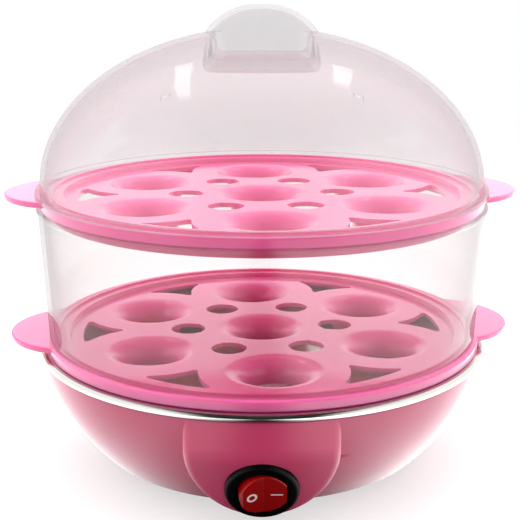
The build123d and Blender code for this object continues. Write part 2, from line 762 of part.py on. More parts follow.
# ---------------------------------------------------------------- domed lid
def dome(inset):
    """Solid dome, pulled in by inset: a half ellipse on a short straight skirt."""
    spring_z = lid_z + dome_spring
    arc = quarter_ellipse((0, spring_z), dome_radius - inset, dome_rise - inset)
    side = Polyline(arc @ 1, (0, lid_z), (dome_radius - inset, lid_z), arc @ 0)
    return revolve(Plane.XZ * make_face([arc, side]), Axis.Z)


def knob(inset):
    """Arch-shaped grip across the top of the dome, pulled in by inset."""
    top = dome_top_z + knob_height
    base = dome_top_z - scoop_depth
    crown = knob_crown_half_width - inset / 2
    side = quarter_ellipse((crown, base), knob_half_width - inset - crown, top - inset - base)
    other = mirror(side, Plane.YZ)
    section = make_face([side, Line(side @ 1, other @ 1), other, Line(other @ 0, side @ 0)])
    grip = extrude(Plane.XZ * section, knob_half_depth - inset, both=True)
    return fillet([e for e in grip.edges() if (e @ 0.5).Z > base + margin and abs((e % 0.5).Y) < 0.5],
                  knob_round - inset / 2)


def scoop(grow):
    """Finger recess in front of the grip, let out by grow."""
    length = dome_radius
    block = Box(2 * (scoop_half_width + grow), length, 2 * knob_height + scoop_depth + grow,
                align=(Align.CENTER, Align.MAX, Align.MIN))
    block = Pos(0, -knob_half_depth + grow, dome_top_z - scoop_depth - grow) * block
    near = block.edges().filter_by(Axis.Z).sort_by(Axis.Y)[-2:]
    block = fillet(near, scoop_corner)
    floor = [e for e in block.edges() if abs(e.center().Z - (dome_top_z - scoop_depth - grow)) < 0.01
             and (e @ 0.5).Y > -length]
    return fillet(floor, scoop_floor_round)


def lid_body(inset):
    recess = scoop(inset)
    return dome(inset) + knob(inset) - recess - Rot(0, 0, 180) * recess


def make_dome_lid():
    lid = lid_body(0) - lid_body(dome_wall)
    lid -= post(dome_radius - dome_wall, lid_z - margin, lid_z + dome_spring)
    lid += ring(dome_foot_radius, dome_radius - dome_wall, lid_z, lid_z + dome_foot_height)
    vent = post(steam_vent_radius, lid_z, dome_top_z)
    lid -= [Pos(x * steam_vent_spread, y * steam_vent_reach, 0) * vent for x in (-1, 1) for y in (-1, 1)]
    write("dome_lid", lid)


os.makedirs("parts", exist_ok=True)
make_base_housing()
make_base_cover()
make_cover_screws()
make_heating_dish()
make_dish_seal()
make_dish_studs()
make_stud_nuts()
make_stud_washers()
make_heat_spreader()
make_heater_element()
make_element_seals()
make_element_pins()
make_thermostat()
make_thermostat_strap()
make_heater_screws()
make_thermal_fuse()
make_fuse_clip()
make_switch_body()
make_switch_rocker()
make_switch_lamp()
make_switch_terminals()
make_cord_gland()
make_terminal_block()
make_block_screws()
make_tray("lower_tray", lower_deck_z, lower_tray_turn)
make_clear_wall()
make_tray("upper_tray", upper_deck_z, upper_tray_turn)
make_dome_lid()
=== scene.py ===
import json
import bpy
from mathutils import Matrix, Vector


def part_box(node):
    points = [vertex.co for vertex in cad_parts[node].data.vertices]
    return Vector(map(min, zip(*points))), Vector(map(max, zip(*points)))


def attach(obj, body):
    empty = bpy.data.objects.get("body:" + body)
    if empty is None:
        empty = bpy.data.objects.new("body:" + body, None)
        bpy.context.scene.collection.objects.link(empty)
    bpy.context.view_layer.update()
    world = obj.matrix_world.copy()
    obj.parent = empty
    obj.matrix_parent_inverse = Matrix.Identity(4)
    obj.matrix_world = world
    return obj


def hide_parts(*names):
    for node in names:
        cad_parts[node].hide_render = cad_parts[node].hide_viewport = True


bl_info = {
    "name": "Egg boiler finish",
    "version": (1, 0, 0),
    "blender": (4, 5, 0),
    "location": "View3D > Sidebar > Egg boiler",
    "description": "Finishes the moulded, pressed and clear pieces of a two-tier egg boiler",
    "category": "Object",
}

from math import atan2, cos, pi, radians, sin, tan

import bmesh
import bpy
from bpy.props import FloatProperty, FloatVectorProperty, IntProperty, PointerProperty
from mathutils import Matrix, Vector

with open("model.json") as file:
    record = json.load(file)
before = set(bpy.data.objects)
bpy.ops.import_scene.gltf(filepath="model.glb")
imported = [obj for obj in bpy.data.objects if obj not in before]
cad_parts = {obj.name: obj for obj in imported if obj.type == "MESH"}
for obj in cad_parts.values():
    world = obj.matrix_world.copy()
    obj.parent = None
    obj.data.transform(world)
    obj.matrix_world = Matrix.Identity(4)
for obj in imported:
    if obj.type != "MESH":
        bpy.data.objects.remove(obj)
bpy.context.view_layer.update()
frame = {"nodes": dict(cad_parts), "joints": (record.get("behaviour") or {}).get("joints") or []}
MM = 0.001  # metres
PICTURE_WIDTH = 520  # pixels, the width that the camera's focal length is given for


# ---------------------------------------------------------------- settings
def length(name, description, millimetres):
    """A length given in millimetres, which the panel shows in the scene's units."""
    return FloatProperty(
        name=name, description=description, default=millimetres * MM, unit="LENGTH", precision=5
    )


def slope(name, description, degrees):
    """An angle given in degrees."""
    return FloatProperty(
        name=name, description=description, default=radians(degrees), subtype="ANGLE"
    )


def colour(name, description, red, green, blue):
    """A colour in linear light."""
    return FloatVectorProperty(
        name=name, description=description, default=(red, green, blue),
        subtype="COLOR", size=3, min=0, max=1,
    )


def share(name, description, value, largest=1.0):
    """A factor from nothing to a largest value."""
    return FloatProperty(
        name=name, description=description, default=value, min=0, max=largest, subtype="FACTOR"
    )


def amount(name, description, value):
    """A plain number."""
    return FloatProperty(name=name, description=description, default=value)


def steps(name, description, value):
    """How many steps a turned piece has around its axis."""
    return IntProperty(name=name, description=description, default=value, min=24)


class PlasticLook(bpy.types.PropertyGroup):
    """Colours and gloss of the pink mouldings"""
    housing_colour: colour("Housing pink", "Body colour of the base housing and its cover",
                           0.61, 0.050, 0.145)
    tray_colour: colour("Tray pink", "Body colour of the egg trays", 0.90, 0.140, 0.360)
    housing_roughness: share("Housing roughness", "Roughness of the housing's plastic", 0.22)
    tray_roughness: share("Tray roughness", "Roughness of the trays' plastic", 0.14)
    housing_glow: share("Housing glow", "How much light the housing's plastic spreads inside", 0.25)
    tray_glow: share("Tray glow", "How much light the trays' plastic spreads inside", 0.60)
    housing_coat: share("Housing coat", "Extra gloss of the housing's plastic", 0.10)
    tray_coat: share("Tray coat", "Extra gloss of the trays' plastic", 0.32)
    peel: share("Orange peel", "Strength of the fine ripple in moulded faces", 0.06)
    flow_size: length("Flow marks", "Size of the slow colour changes in a moulding", 25.0)


class ClearLook(bpy.types.PropertyGroup):
    """Tints, haze and gloss of the clear wall and the lid"""
    wall_haze: share("Wall haze", "How much of each face of the clear wall shows as haze", 0.03)
    lid_haze: share("Lid haze", "How much of each face of the lid shows as haze", 0.09)
    rim_haze: share("Edge haze", "Extra haze where the plastic is seen edge on", 0.22)
    wall_tint: colour("Wall tint", "Colour that each face of the clear wall passes",
                      0.968, 0.954, 0.954)
    lid_tint: colour("Lid tint", "Colour that each face of the lid passes", 0.964, 0.965, 0.965)
    wall_milk: colour("Wall haze colour", "Colour of the haze in the clear wall", 0.38, 0.37, 0.37)
    lid_milk: colour("Lid haze colour", "Colour of the haze in the lid", 0.66, 0.66, 0.66)
    gloss_colour: colour("Gloss colour", "Tint of what mirrors in the clear plastic",
                         0.55, 0.54, 0.545)
    clear_roughness: share("Clear roughness", "Roughness of the clear plastic's skin", 0.05)


class WallSizes(bpy.types.PropertyGroup):
    """Sizes of the clear wall"""
    foot_radius: length("Foot radius", "Outer radius of the clear wall at its foot", 77.0)
    thickness: length("Thickness", "Thickness of the clear wall", 1.6)
    bead: length("Bead", "How far the wall's top bead stands out", 0.6)
    bead_height: length("Bead height", "Height of the wall's top bead", 1.8)
    edge_bend: length("Edge bend", "Rounding of the wall's edges", 0.35)
    segments: steps("Segments", "Steps around the wall", 192)


class DishSizes(bpy.types.PropertyGroup):
    """Sizes of the steel heating dish"""
    sheet: length("Sheet", "Thickness of the pressed steel", 0.8)
    bead_radius: length("Bead radius", "Outside radius of the rolled rim", 1.3)
    bead_turn: slope("Bead turn", "How far the rim is rolled", 250)
    floor_radius: length("Floor radius", "Where the floor starts to rise", 63.6)
    wall_radius: length("Wall radius", "Outside of the upright part of the wall", 75.9)
    wall_drop: length("Wall drop", "Rim top to the foot of the upright wall", 5.4)
    depth: length("Depth", "Rim top to the inside of the floor", 13.2)
    floor_bend: length("Floor bend", "Bend between floor and slope", 5.0)
    wall_bend: length("Wall bend", "Bend between slope and wall", 3.0)
    flange_bend: length("Flange bend", "Bend between wall and flange", 1.2)
    segments: steps("Segments", "Steps around the dish", 192)


class SwitchMarks(bpy.types.PropertyGroup):
    """Sizes of the switch's printed marks"""
    off_radius: length("Off ring", "Middle radius of the round off mark", 1.35)
    off_stroke: length("Off stroke", "Line width of the off mark", 0.70)
    on_length: length("On bar", "Length of the on mark", 3.8)
    on_stroke: length("On stroke", "Line width of the on mark", 0.42)
    spread: length("Spread", "Distance of each mark from the middle of the rocker", 3.9)
    print_height: length("Print height", "Thickness of the printed marks", 0.06)
    print_sink: length("Print sink", "How deep the marks' undersides lie in the rocker", 0.01)
    crown: length("Crown", "Height of the rocker's face over its pivot, in the middle", 3.9)
    tilt: slope("Tilt", "Slope of each half of the face", 10)


class StudioSetup(bpy.types.PropertyGroup):
    """Camera, strip lights, room and floor"""
    distance: length("Distance", "Camera in front of the object's axis", 377.6)
    height: length("Height", "Camera above the floor", 166.1)
    pitch: slope("Pitch", "How far the camera looks down", 14.34)
    focal: amount("Focal length", "In pixels of the picture", 1070.0)
    strip_glare: amount("Strip lights", "Brightness of the two strip lights", 4.0)
    mirror_light: amount("Mirrored room", "Brightness of the room in glossy faces", 1.38)
    room_light: amount("Room light", "Strength of the room's light on matt faces", 2.1)
    front_light: share("Front light", "Light from the front, against that from the sides", 0.06)
    top_light: share("Top light", "Light from overhead, against that from the sides", 1.4,
                     largest=4.0)
    floor_colour: colour("Floor", "Colour of the studio floor", 0.34, 0.34, 0.34)
    floor_glow: share("Floor glow", "Light of the floor itself, as the camera sees it", 0.62,
                      largest=4.0)
    side_glow: share("Side glow", "Light of the floor at the left, in glossy faces", 2.0,
                     largest=9.0)
    right_gain: share("Right gain", "How much brighter that light is at the right", 1.4,
                      largest=4.0)
    glow_start: length("Glow start", "Distance to the side at which that light starts", 5)
    glow_full: length("Glow full", "Distance to the side at which it is brightest", 64)
    floor_hold: length("Floor hold", "Distance up to which the floor is solid", 130)
    floor_reach: length("Floor reach", "Distance at which it has faded into the room", 900)
    floor_drop: length("Floor drop", "How far the floor lies below the feet", 0.05)


# ---------------------------------------------------------------- small tools
def piece_from(name, mesh):
    """Put a finished mesh in the scene as an object at the origin."""
    piece = bpy.data.objects.new(name, mesh)
    bpy.context.scene.collection.objects.link(piece)
    return piece


def closed(shape, mesh):
    """Turn the faces of a closed bmesh outwards and keep it in a mesh."""
    bmesh.ops.recalc_face_normals(shape, faces=shape.faces)
    shape.to_mesh(mesh)
    shape.free()
    return mesh


def paint(node, material):
    """Give a CAD node its finish."""
    slots = frame["nodes"][node].data.materials
    if not slots:
        slots.append(material)
    for index in range(len(slots)):
        slots[index] = material


def rounded(points, radii, step=radians(6)):
    """Points along a path whose inner corners are rounded by the given radii."""
    path = [Vector(points[0])]
    for before, corner, after, radius in zip(points, points[1:], points[2:], radii):
        before, corner, after = Vector(before), Vector(corner), Vector(after)
        into = (corner - before).normalized()
        away = (after - corner).normalized()
        turn = atan2(into.x * away.y - into.y * away.x, into.dot(away))
        side = 1 if turn > 0 else -1
        start = corner - into * radius * abs(tan(turn / 2))
        centre = start + Vector((-into.y, into.x)) * side * radius
        count = max(2, round(abs(turn) / step))
        spoke = start - centre
        path += [centre + Matrix.Rotation(turn * i / count, 2) @ spoke for i in range(count + 1)]
    return path + [Vector(points[-1])]


def thickened(path, thickness):
    """Closed outline of a sheet of that thickness whose middle follows the path."""
    left, right = [], []
    for i, point in enumerate(path):
        ahead = path[min(i + 1, len(path) - 1)]
        behind = path[max(i - 1, 0)]
        along = (ahead - behind).normalized()
        across = Vector((-along.y, along.x)) * thickness / 2
        left.append(point + across)
        right.append(point - across)
    return left + right[::-1]


# ---------------------------------------------------------------- node trees
MERGE_DISTANCE = 0.002 * MM  # points of a turned shell that are nearer than this become one
SHARP_ANGLE = radians(35)  # edges of a turned shell that bend more than this stay sharp


def new_tree(name, inputs):
    """Empty geometry node tree with named inputs, given as (name, socket type, default)."""
    tree = bpy.data.node_groups.new(name, "GeometryNodeTree")
    for way in ("OUTPUT", "INPUT"):
        tree.interface.new_socket("Geometry", in_out=way, socket_type="NodeSocketGeometry")
    for label, kind, default in inputs:
        socket = tree.interface.new_socket(label, in_out="INPUT", socket_type=kind)
        if default is not None:
            socket.default_value = default
    return tree, tree.nodes.new("NodeGroupInput"), tree.nodes.new("NodeGroupOutput")


def feed(tree, value, socket):
    """Give an input a plain value, or link it where the value is a socket."""
    if isinstance(value, bpy.types.NodeSocket):
        tree.links.new(value, socket)
    else:
        socket.default_value = value


def calculate(tree, operation, *values):
    """A Math node on sockets or plain numbers."""
    node = tree.nodes.new("ShaderNodeMath")
    node.operation = operation
    for socket, value in zip(node.inputs, values):
        feed(tree, value, socket)
    return node.outputs[0]


def finish_tree(tree, geometry, material, output):
    """End a tree: smooth faces, real meshes and their material."""
    smooth = tree.nodes.new("GeometryNodeSetShadeSmooth")
    real = tree.nodes.new("GeometryNodeRealizeInstances")
    dress = tree.nodes.new("GeometryNodeSetMaterial")
    tree.links.new(geometry, smooth.inputs["Geometry"])
    tree.links.new(smooth.outputs["Geometry"], real.inputs["Geometry"])
    tree.links.new(real.outputs["Geometry"], dress.inputs["Geometry"])
    tree.links.new(material, dress.inputs["Material"])
    tree.links.new(dress.outputs["Geometry"], output.inputs["Geometry"])


def turning_tree():
    """Turns the closed outline that it is given, in the XZ plane, about the Z axis."""
    tree, given, output = new_tree("turned_shell", [
        ("Outline Points", "NodeSocketInt", 4),
        ("Segments", "NodeSocketInt", 64),
        ("Material", "NodeSocketMaterial", None),
    ])
    link = tree.links.new
    corners = given.outputs["Outline Points"]
    segments = given.outputs["Segments"]
    columns = calculate(tree, "ADD", segments, 1)
    rows = calculate(tree, "ADD", corners, 1)
    grid = tree.nodes.new("GeometryNodeMeshGrid")
    link(columns, grid.inputs["Vertices X"])
    link(rows, grid.inputs["Vertices Y"])
    index = tree.nodes.new("GeometryNodeInputIndex").outputs[0]
    column = calculate(tree, "FLOOR", calculate(tree, "DIVIDE", index, rows))
    row = calculate(tree, "MODULO", calculate(tree, "MODULO", index, rows), corners)
    angle = calculate(tree, "MULTIPLY", calculate(tree, "DIVIDE", column, segments), 2 * pi)
    outline = tree.nodes.new("GeometryNodeSampleIndex")
    outline.data_type = "FLOAT_VECTOR"
    link(given.outputs["Geometry"], outline.inputs["Geometry"])
    link(tree.nodes.new("GeometryNodeInputPosition").outputs[0], outline.inputs["Value"])
    link(row, outline.inputs["Index"])
    split = tree.nodes.new("ShaderNodeSeparateXYZ")
    link(outline.outputs["Value"], split.inputs[0])
    place = tree.nodes.new("ShaderNodeCombineXYZ")
    for label, operation in (("X", "COSINE"), ("Y", "SINE")):
        ray = calculate(tree, operation, angle)
        link(calculate(tree, "MULTIPLY", split.outputs["X"], ray), place.inputs[label])
    link(split.outputs["Z"], place.inputs["Z"])
    move = tree.nodes.new("GeometryNodeSetPosition")
    link(grid.outputs["Mesh"], move.inputs["Geometry"])
    link(place.outputs[0], move.inputs["Position"])
    merge = tree.nodes.new("GeometryNodeMergeByDistance")
    merge.inputs["Distance"].default_value = MERGE_DISTANCE
    link(move.outputs["Geometry"], merge.inputs["Geometry"])
    finish_tree(tree, merge.outputs["Geometry"], given.outputs["Material"], output)
    return tree


def made_by(tree, name, mesh, values):
    """Run a tree on a mesh with the named inputs set, and keep the result as a plain mesh."""
    source = piece_from(name + "_source", mesh)
    modifier = source.modifiers.new("nodes", "NODES")
    modifier.node_group = tree
    for socket in tree.interface.items_tree:
        if socket.in_out == "INPUT" and socket.name in values:
            modifier[socket.identifier] = values[socket.name]
    source.update_tag()
    shown = source.evaluated_get(bpy.context.evaluated_depsgraph_get())
    result = bpy.data.meshes.new_from_object(shown)
    result.name = name
    bpy.data.objects.remove(source)
    return result


def turned(name, outline, segments, material):
    """A closed shell turned about the upright axis from (radius, height) points."""
    points = bpy.data.meshes.new(name + "_outline")
    points.from_pydata([(p[0], 0, p[1]) for p in outline], [], [])
    tree = bpy.data.node_groups.get("turned_shell") or turning_tree()
    mesh = made_by(tree, name, points, {
        "Outline Points": len(outline), "Segments": segments, "Material": material,
    })
    shell = bmesh.new()
    shell.from_mesh(mesh)
    closed(shell, mesh)
    mesh.set_sharp_from_angle(angle=SHARP_ANGLE)
    return piece_from(name, mesh)


# ---------------------------------------------------------------- shader tools
NOISE_BAND = (0.3, 0.7)  # nearly all values of a noise texture lie between these


def new_material(name):
    """Empty material with its output."""
    material = bpy.data.materials.new(name)
    material.use_nodes = True
    material.node_tree.nodes.clear()
    return material, material.node_tree, material.node_tree.nodes.new("ShaderNodeOutputMaterial")


def principled(tree, **values):
    """Principled shader with constants set on its own sockets."""
    shader = tree.nodes.new("ShaderNodeBsdfPrincipled")
    for label, value in values.items():
        shader.inputs[label.replace("_", " ")].default_value = value
    return shader


def noise(tree, waves, detail=2.0, stretch=(1, 1, 1)):
    """Noise on the piece's own coordinates, in waves per metre."""
    place = tree.nodes.new("ShaderNodeTexCoord")
    mapping = tree.nodes.new("ShaderNodeMapping")
    mapping.inputs["Scale"].default_value = stretch
    texture = tree.nodes.new("ShaderNodeTexNoise")
    texture.inputs["Scale"].default_value = waves
    texture.inputs["Detail"].default_value = detail
    tree.links.new(place.outputs["Object"], mapping.inputs["Vector"])
    tree.links.new(mapping.outputs["Vector"], texture.inputs["Vector"])
    return texture.outputs["Fac"]


def mapped(tree, value, limits, low, high, easing="LINEAR"):
    """A value that goes from low at the first limit to high at the second."""
    node = tree.nodes.new("ShaderNodeMapRange")
    node.interpolation_type = easing
    start, end = limits
    for label, number in (("From Min", start), ("From Max", end),
                          ("To Min", low), ("To Max", high)):
        node.inputs[label].default_value = number
    tree.links.new(value, node.inputs["Value"])
    return node.outputs["Result"]


def fade(tree, value, limits, low, high):
    """A value eased from low at the first limit to high at the second."""
    return mapped(tree, value, limits, low, high, easing="SMOOTHSTEP")


def blended(tree, factor, first, second):
    """Two colours mixed by a socket."""
    node = tree.nodes.new("ShaderNodeMix")
    node.data_type = "RGBA"
    node.inputs["A"].default_value = (*first, 1)
    node.inputs["B"].default_value = (*second, 1)
    tree.links.new(factor, node.inputs["Factor"])
    return node.outputs["Result"]


def chosen(tree, factor, first, second):
    """One of two numbers or sockets, or their mix, by a factor."""
    node = tree.nodes.new("ShaderNodeMix")
    for label, value in (("Factor", factor), ("A", first), ("B", second)):
        feed(tree, value, node.inputs[label])
    return node.outputs["Result"]


def mixed(tree, factor, first, second):
    """Two shaders mixed by a number or a socket."""
    node = tree.nodes.new("ShaderNodeMixShader")
    for socket, value in zip(node.inputs, (factor, first, second)):
        feed(tree, value, socket)
    return node.outputs[0]


def ripple(tree, height, strength, distance):
    """Bump from a height socket."""
    node = tree.nodes.new("ShaderNodeBump")
    node.inputs["Strength"].default_value = strength
    node.inputs["Distance"].default_value = distance
    tree.links.new(height, node.inputs["Height"])
    return node.outputs["Normal"]


def shaded(values, factor):
    """A colour made darker or lighter by a factor."""
    return tuple(min(1.0, v * factor) for v in values)


def surface(tree, output, shader, base, roughness, normal):
    """Link the sockets that vary over the surface to a shader, and it to the output."""
    tree.links.new(base, shader.inputs["Base Color"])
    tree.links.new(roughness, shader.inputs["Roughness"])
    tree.links.new(normal, shader.inputs["Normal"])
    tree.links.new(shader.outputs[0], output.inputs["Surface"])


# ---------------------------------------------------------------- finishes
# Waves are per metre. A pair of shares gives the lowest and the highest value against the mean.
PINK_REACH = (0.012, 0.0035, 0.005)  # metres that red, green and blue light spread inside
PINK_REACH_SCALE = 0.5
PINK_INDEX = 1.47  # of refraction
PINK_COAT_ROUGHNESS = 0.08
PEEL_WAVES, PEEL_DETAIL, PEEL_DEPTH = 700, 3, 0.2 * MM
SKIN_WAVES = 30
SKIN_SHARES = (0.93, 1.08)
FLOW_SHARES = (0.95, 1.04)

CLEAR_INDEX = 1.49  # of refraction
MILK_ROUGHNESS = 0.35
MILK_THROUGH = 0.5  # share of the haze that lights up from behind
MIRROR_LEAST = 0.04  # share that mirrors where a face is seen straight on
MIRROR_POWER = 5  # how steeply mirroring grows towards the edge
RIM_POWER = 3  # how steeply haze grows towards the edge
STREAK_WAVES, STREAK_STRETCH = 22, (1, 1, 0.25)
STREAK_SHARES = (0.8, 1.25)

STEEL_SHADES = ((0.56, 0.56, 0.51), (0.72, 0.72, 0.68))
STEEL_ROUGHNESS = (0.08, 0.16)
STEEL_GRAIN = 0.4  # anisotropy
STAIN_WAVES, STAIN_DETAIL = 45, 4
POLISH_WAVES = 70
LATHE_SCALE, LATHE_WANDER = 420, 1.5  # scale and distortion of the wave texture
LATHE_STRENGTH, LATHE_DEPTH = 0.12, 0.05 * MM

DRIFT_WAVES, DRIFT_DETAIL = 120, 3
DRIFT_SHARES = (0.88, 1.08)
MOTTLE_WAVES = 260
MOTTLE_SHARES = (0.8, 1.2)
GRAIN_WAVES, GRAIN_DEPTH = 700, 0.1 * MM

BRASS = dict(base=(0.75, 0.58, 0.28), roughness=0.3, metallic=1.0)
PLAIN_FINISHES = {
    "screw_zinc": dict(base=(0.60, 0.61, 0.63), roughness=0.28, metallic=1.0),
    "seal_silicone": dict(base=(0.55, 0.53, 0.50), roughness=0.6),
    "switch_black": dict(base=(0.0012, 0.0016, 0.0015), roughness=0.3, Specular_IOR_Level=0.1),
    "rocker_red": dict(base=(0.33, 0.002, 0.003), roughness=0.16, grain=0.04,
                       Specular_IOR_Level=0.25, Coat_Weight=0.1, Coat_Roughness=0.05),
    "lamp_glass": dict(base=(0.85, 0.70, 0.55), roughness=0.08, Transmission_Weight=0.6),
    "terminal_brass": BRASS,
    "mark_print": dict(base=(0.90, 0.74, 0.74), roughness=0.45),
    "zinc_plate": dict(base=(0.58, 0.60, 0.62), roughness=0.3, metallic=1.0),
    "heater_aluminium": dict(base=(0.66, 0.67, 0.68), roughness=0.42, metallic=1.0),
    "white_ceramic": dict(base=(0.80, 0.78, 0.73), roughness=0.5),
    "black_nylon": dict(base=(0.02, 0.02, 0.02), roughness=0.4),
    "block_nylon": dict(base=(0.70, 0.68, 0.62), roughness=0.55),
    "block_brass": BRASS,
}


def moulded_plastic(name, base, roughness, glow, coat, look):
    """Glossy moulded plastic: flow marks, a faint orange peel and light spreading inside."""
    material, tree, output = new_material(name)
    shader = principled(
        tree, Subsurface_Weight=glow, Subsurface_Radius=PINK_REACH,
        Subsurface_Scale=PINK_REACH_SCALE, IOR=PINK_INDEX,
        Coat_Weight=coat, Coat_Roughness=PINK_COAT_ROUGHNESS,
    )
    flow = noise(tree, 1 / look.flow_size)
    peel = noise(tree, PEEL_WAVES, detail=PEEL_DETAIL)
    skin = noise(tree, SKIN_WAVES)
    surface(
        tree, output, shader,
        blended(tree, flow, *(shaded(base, factor) for factor in FLOW_SHARES)),
        mapped(tree, skin, NOISE_BAND, *(roughness * factor for factor in SKIN_SHARES)),
        ripple(tree, peel, look.peel, PEEL_DEPTH),
    )
    return material


def clear_plastic(name, look, haze, tint, haze_colour):
    """Clear moulded plastic: see-through and glossy, with more haze where it is seen edge on."""
    material, tree, output = new_material(name)
    through = tree.nodes.new("ShaderNodeBsdfTransparent")
    through.inputs["Color"].default_value = (*tint, 1)
    gloss = tree.nodes.new("ShaderNodeBsdfGlossy")
    gloss.inputs["Roughness"].default_value = look.clear_roughness
    gloss.inputs["Color"].default_value = (*look.gloss_colour, 1)
    front_milk = principled(
        tree, Base_Color=(*haze_colour, 1), Roughness=MILK_ROUGHNESS, IOR=CLEAR_INDEX
    )
    back_milk = tree.nodes.new("ShaderNodeBsdfTranslucent")
    back_milk.inputs["Color"].default_value = (*haze_colour, 1)
    milk = mixed(tree, MILK_THROUGH, front_milk.outputs[0], back_milk.outputs[0])
    slant = tree.nodes.new("ShaderNodeLayerWeight").outputs["Facing"]
    steep = calculate(tree, "POWER", slant, MIRROR_POWER)
    mirror_share = calculate(
        tree, "ADD", calculate(tree, "MULTIPLY", steep, 1 - MIRROR_LEAST), MIRROR_LEAST
    )
    skin = mixed(tree, mirror_share, through.outputs[0], gloss.outputs[0])
    streaks = noise(tree, STREAK_WAVES, stretch=STREAK_STRETCH)
    thin = mapped(tree, streaks, NOISE_BAND, *(haze * factor for factor in STREAK_SHARES))
    thick = calculate(tree, "MULTIPLY", calculate(tree, "POWER", slant, RIM_POWER), look.rim_haze)
    body = mixed(tree, calculate(tree, "ADD", thin, thick), skin, milk)
    tree.links.new(body, output.inputs["Surface"])
    return material


def pressed_steel(name):
    """Polished stainless sheet with fine turned lines about the upright axis."""
    material, tree, output = new_material(name)
    shader = principled(tree, Metallic=1.0, Anisotropic=STEEL_GRAIN)
    place = tree.nodes.new("ShaderNodeTexCoord")
    rings = tree.nodes.new("ShaderNodeTexWave")
    rings.wave_type = "RINGS"
    rings.rings_direction = "Z"
    rings.inputs["Scale"].default_value = LATHE_SCALE
    rings.inputs["Distortion"].default_value = LATHE_WANDER
    tree.links.new(place.outputs["Object"], rings.inputs["Vector"])
    stain = noise(tree, STAIN_WAVES, detail=STAIN_DETAIL)
    surface(
        tree, output, shader,
        blended(tree, stain, *STEEL_SHADES),
        mapped(tree, noise(tree, POLISH_WAVES), NOISE_BAND, *STEEL_ROUGHNESS),
        ripple(tree, rings.outputs["Fac"], LATHE_STRENGTH, LATHE_DEPTH),
    )
    return material


def small_part(name, base, roughness, metallic=0.0, grain=0.08, **extra):
    """Small part's finish: a little colour drift, mottled roughness and a fine grain."""
    material, tree, output = new_material(name)
    shader = principled(tree, Metallic=metallic, **extra)
    drift = noise(tree, DRIFT_WAVES, detail=DRIFT_DETAIL)
    mottle = noise(tree, MOTTLE_WAVES)
    surface(
        tree, output, shader,
        blended(tree, drift, *(shaded(base, factor) for factor in DRIFT_SHARES)),
        mapped(tree, mottle, NOISE_BAND, *(roughness * factor for factor in MOTTLE_SHARES)),
        ripple(tree, noise(tree, GRAIN_WAVES), grain, GRAIN_DEPTH),
    )
    return material


def plain_finish(name):
    """The small-part finish of that name."""
    return small_part(name, **PLAIN_FINISHES[name])


# ---------------------------------------------------------------- pieces
BEAD_STEPS = 24  # steps round the dish's rolled rim
OFF_STEPS = 48  # steps round the off mark
ON_STEPS = 8  # steps round each end of the on mark
SWITCH_FINISHES = {
    "switch_body": "switch_black",
    "switch_rocker": "rocker_red",
    "switch_lamp": "lamp_glass",
    "switch_terminals": "terminal_brass",
}
INSIDE_FINISHES = {
    "zinc_plate": ("dish_studs", "stud_nuts", "stud_washers", "heater_screws",
                   "thermostat_strap", "fuse_clip", "element_pins"),
    "heater_aluminium": ("heat_spreader", "heater_element"),
    "white_ceramic": ("element_end_seals", "thermal_fuse"),
    "black_nylon": ("thermostat", "cord_gland"),
    "block_nylon": ("terminal_block",),
    "block_brass": ("block_screws",),
}


class DressHousing(bpy.types.Operator):
    """Finish the base housing, its cover and the screws under the feet"""
    bl_idname = "egg_boiler.housing"
    bl_label = "Housing"

    def execute(self, context):
        look = context.scene.egg_boiler_plastic
        pink = moulded_plastic("housing_pink", look.housing_colour, look.housing_roughness,
                               look.housing_glow, look.housing_coat, look)
        paint("base_housing", pink)
        paint("base_cover", pink)
        paint("cover_screws", plain_finish("screw_zinc"))
        return {"FINISHED"}


class DressTrays(bpy.types.Operator):
    """Finish the two egg trays"""
    bl_idname = "egg_boiler.trays"
    bl_label = "Egg trays"

    def execute(self, context):
        look = context.scene.egg_boiler_plastic
        pink = moulded_plastic("tray_pink", look.tray_colour, look.tray_roughness,
                               look.tray_glow, look.tray_coat, look)
        paint("lower_tray", pink)
        paint("upper_tray", pink)
        return {"FINISHED"}


class BuildDish(bpy.types.Operator):
    """Turn the steel heating dish with its rolled rim, and finish its seal"""
    bl_idname = "egg_boiler.dish"
    bl_label = "Heating dish"

    def execute(self, context):
        dish = context.scene.egg_boiler_dish
        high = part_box("heating_dish")[1]
        flange = high.z - dish.sheet / 2
        upright = dish.wall_radius - dish.sheet / 2
        bead_ring = high.x - dish.bead_radius
        floor = high.z - dish.depth - dish.sheet / 2
        panel = rounded([(dish.sheet, floor), (dish.floor_radius, floor),
                         (upright, high.z - dish.wall_drop), (upright, flange),
                         (bead_ring, flange)],
                        [dish.floor_bend, dish.wall_bend, dish.flange_bend])
        curl = dish.bead_radius - dish.sheet / 2
        for i in range(1, BEAD_STEPS + 1):
            angle = pi / 2 - dish.bead_turn * i / BEAD_STEPS
            panel.append(Vector((bead_ring + curl * cos(angle),
                                 flange - curl + curl * sin(angle))))
        outline = thickened(panel, dish.sheet)
        outline[0].x = outline[-1].x = 0.0
        steel = pressed_steel("dish_steel")
        piece = turned("steel_dish", outline, dish.segments, steel)
        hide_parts("heating_dish")
        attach(piece, "root")
        paint("dish_seal", plain_finish("seal_silicone"))
        return {"FINISHED"}


